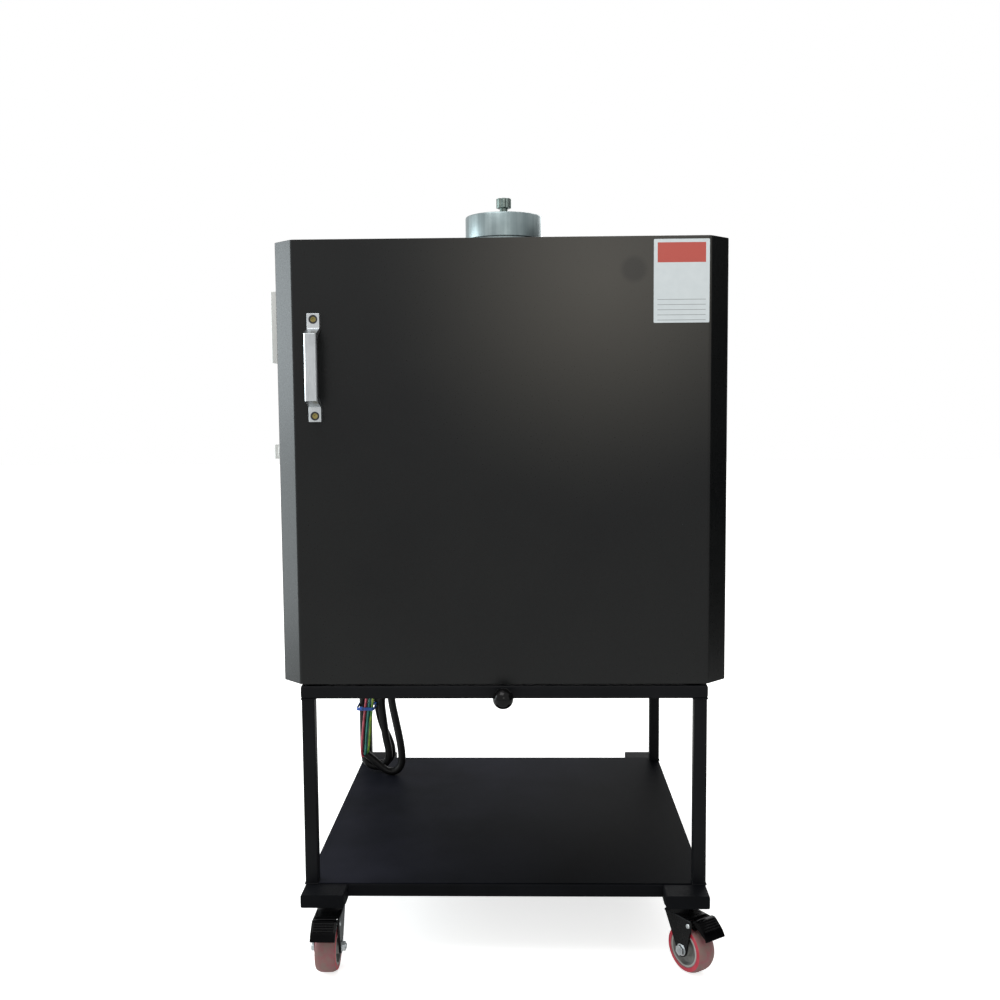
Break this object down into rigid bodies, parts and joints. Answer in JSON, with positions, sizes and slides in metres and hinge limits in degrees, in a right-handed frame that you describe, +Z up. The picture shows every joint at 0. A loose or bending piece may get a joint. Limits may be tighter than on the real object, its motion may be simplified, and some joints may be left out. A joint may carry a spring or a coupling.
{
  "type": "ceramic kiln",
  "caption": "Front-loading electric ceramic kiln with a chamfered door, flue cap, side controller, castored stand with a shelf, and a tied supply cable.",
  "frame": {"origin": "on the floor, under the middle of the outline in plan", "axes": "+Z up, the door faces -Y, +X to the right seen from the front"},
  "size_m": [0.7296, 0.7712, 1.225],
  "materials": {
    "black_powder_coat": "satin black powder coat",
    "graphite_powder_coat": "fine-textured dark powder coat",
    "black_zinc": "black passivated pressed steel",
    "bright_zinc": "zinc-plated steel",
    "red_polyurethane": "cast polyurethane tread on a grey nylon core",
    "galvanised_sheet": "galvanised sheet",
    "fire_brick": "light insulating brick with fibre board behind it",
    "heating_wire": "oxidised resistance wire",
    "steatite": "unglazed technical ceramic",
    "stainless_steel": "satin stainless steel",
    "grey_powder_coat": "smooth light grey powder coat",
    "screen_glass": "dark cover glass",
    "grey_plastic": "moulded light grey plastic",
    "black_phenolic": "polished black phenolic",
    "aluminium": "satin anodised aluminium",
    "glass_rope": "woven glass fibre rope",
    "black_plastic": "black polyamide",
    "cable_sheath": "black rubber cable sheath",
    "blue_nylon": "blue nylon",
    "red_insulation": "red core insulation",
    "teal_insulation": "blue-green core insulation",
    "green_insulation": "green-yellow core insulation"
  },
  "bodies": {
    "kiln_and_stand": {"stand_top_frame": "black_powder_coat", "stand_posts": "black_powder_coat", "stand_base": "black_powder_coat", "shelf_tray": "graphite_powder_coat", "caster_plates": "black_zinc", "casing_side_panels": "black_powder_coat", "casing_top_panel": "black_powder_coat", "casing_floor_panel": "galvanised_sheet", "casing_rear_panel": "galvanised_sheet", "mouth_frame": "galvanised_sheet", "terminal_cover": "black_powder_coat", "left_wall_lining": "fire_brick", "right_wall_lining": "fire_brick", "back_wall_lining": "fire_brick", "roof_lining": "fire_brick", "floor_lining": "fire_brick", "elements_left": "heating_wire", "elements_right": "heating_wire", "element_terminals": "steatite", "thermocouple": "steatite", "flue_tube": "steatite", "flue_spigot": "stainless_steel", "damper_guides": "galvanised_sheet", "control_housing": "grey_powder_coat", "touch_screen": "screen_glass", "power_switch_base": "black_plastic", "casing_hinge_leaves": "bright_zinc", "catch_magnets": "bright_zinc", "cable_gland": "black_plastic", "supply_cable": "cable_sheath", "cable_hank": "cable_sheath", "cable_tie": "blue_nylon", "core_red": "red_insulation", "core_blue": "teal_insulation", "core_green": "green_insulation"},
    "door": {"door_pan": "black_powder_coat", "door_inner_frame": "galvanised_sheet", "door_lining": "fire_brick", "door_gasket": "glass_rope", "door_handle": "aluminium", "handle_screws": "bright_zinc", "door_hinge_leaves": "bright_zinc"},
    "flue_cap": {"flue_cap": "stainless_steel", "flue_cap_knob": "stainless_steel"},
    "air_damper": {"damper_plate": "galvanised_sheet", "damper_rod": "bright_zinc", "damper_knob": "black_phenolic"},
    "power_switch": {"power_switch_knob": "grey_plastic"},
    "caster_front_left": {"caster_fork_front_left": "black_zinc"},
    "wheel_front_left": {"caster_wheel_front_left": "red_polyurethane"},
    "pedal_front_left": {"brake_pedal_front_left": "black_zinc"},
    "caster_front_right": {"caster_fork_front_right": "black_zinc"},
    "wheel_front_right": {"caster_wheel_front_right": "red_polyurethane"},
    "pedal_front_right": {"brake_pedal_front_right": "black_zinc"},
    "caster_rear_left": {"caster_fork_rear_left": "black_zinc"},
    "wheel_rear_left": {"caster_wheel_rear_left": "red_polyurethane"},
    "pedal_rear_left": {"brake_pedal_rear_left": "black_zinc"},
    "caster_rear_right": {"caster_fork_rear_right": "black_zinc"},
    "wheel_rear_right": {"caster_wheel_rear_right": "red_polyurethane"},
    "pedal_rear_right": {"brake_pedal_rear_right": "black_zinc"}
  },
  "joints": [
    {"name": "door_swing", "type": "hinge", "parent": "kiln_and_stand", "child": "door", "pos_m": [0.3581, -0.207, 0.7765], "axis": [0, 0, 1], "range_deg": [0, 120]},
    {"name": "flue_cap_lift", "type": "slide", "parent": "kiln_and_stand", "child": "flue_cap", "axis": [0, 0, 1], "range_m": [0, 0.08]},
    {"name": "damper_pull", "type": "slide", "parent": "kiln_and_stand", "child": "air_damper", "axis": [0, -1, 0], "range_m": [0, 0.07]},
    {"name": "power_switch_turn", "type": "hinge", "parent": "kiln_and_stand", "child": "power_switch", "pos_m": [-0.3401, -0.16, 0.7936], "axis": [-1, 0, 0], "range_deg": [0, 90]},
    {"name": "swivel_front_left", "type": "hinge", "parent": "kiln_and_stand", "child": "caster_front_left", "pos_m": [-0.262, -0.306, 0.095], "axis": [0, 0, 1], "continuous": true},
    {"name": "roll_front_left", "type": "hinge", "parent": "caster_front_left", "child": "wheel_front_left", "pos_m": [-0.262, -0.33, 0.0375], "axis": [1, 0, 0], "continuous": true},
    {"name": "brake_front_left", "type": "hinge", "parent": "caster_front_left", "child": "pedal_front_left", "pos_m": [-0.262, -0.344, 0.08], "axis": [1, 0, 0], "range_deg": [0, 12]},
    {"name": "swivel_front_right", "type": "hinge", "parent": "kiln_and_stand", "child": "caster_front_right", "pos_m": [0.282, -0.306, 0.095], "axis": [0, 0, 1], "continuous": true},
    {"name": "roll_front_right", "type": "hinge", "parent": "caster_front_right", "child": "wheel_front_right", "pos_m": [0.29577, -0.32566, 0.0375], "axis": [0.8192, 0.5736, 0], "continuous": true},
    {"name": "brake_front_right", "type": "hinge", "parent": "caster_front_right", "child": "pedal_front_right", "pos_m": [0.3038, -0.33713, 0.08], "axis": [0.8192, 0.5736, 0], "range_deg": [0, 12]},
    {"name": "swivel_rear_left", "type": "hinge", "parent": "kiln_and_stand", "child": "caster_rear_left", "pos_m": [-0.262, 0.306, 0.095], "axis": [0, 0, 1], "continuous": true},
    {"name": "roll_rear_left", "type": "hinge", "parent": "caster_rear_left", "child": "wheel_rear_left", "pos_m": [-0.26617, 0.32964, 0.0375], "axis": [-0.9848, -0.1736, 0], "continuous": true},
    {"name": "brake_rear_left", "type": "hinge", "parent": "caster_rear_left", "child": "pedal_rear_left", "pos_m": [-0.2686, 0.34342, 0.08], "axis": [-0.9848, -0.1736, 0], "range_deg": [0, 12]},
    {"name": "swivel_rear_right", "type": "hinge", "parent": "kiln_and_stand", "child": "caster_rear_right", "pos_m": [0.282, 0.306, 0.095], "axis": [0, 0, 1], "continuous": true},
    {"name": "roll_rear_right", "type": "hinge", "parent": "caster_rear_right", "child": "wheel_rear_right", "pos_m": [0.28821, 0.32918, 0.0375], "axis": [-0.9659, 0.2588, 0], "continuous": true},
    {"name": "brake_rear_right", "type": "hinge", "parent": "caster_rear_right", "child": "pedal_rear_right", "pos_m": [0.29184, 0.3427, 0.08], "axis": [-0.9659, 0.2588, 0], "range_deg": [0, 12]}
  ]
}
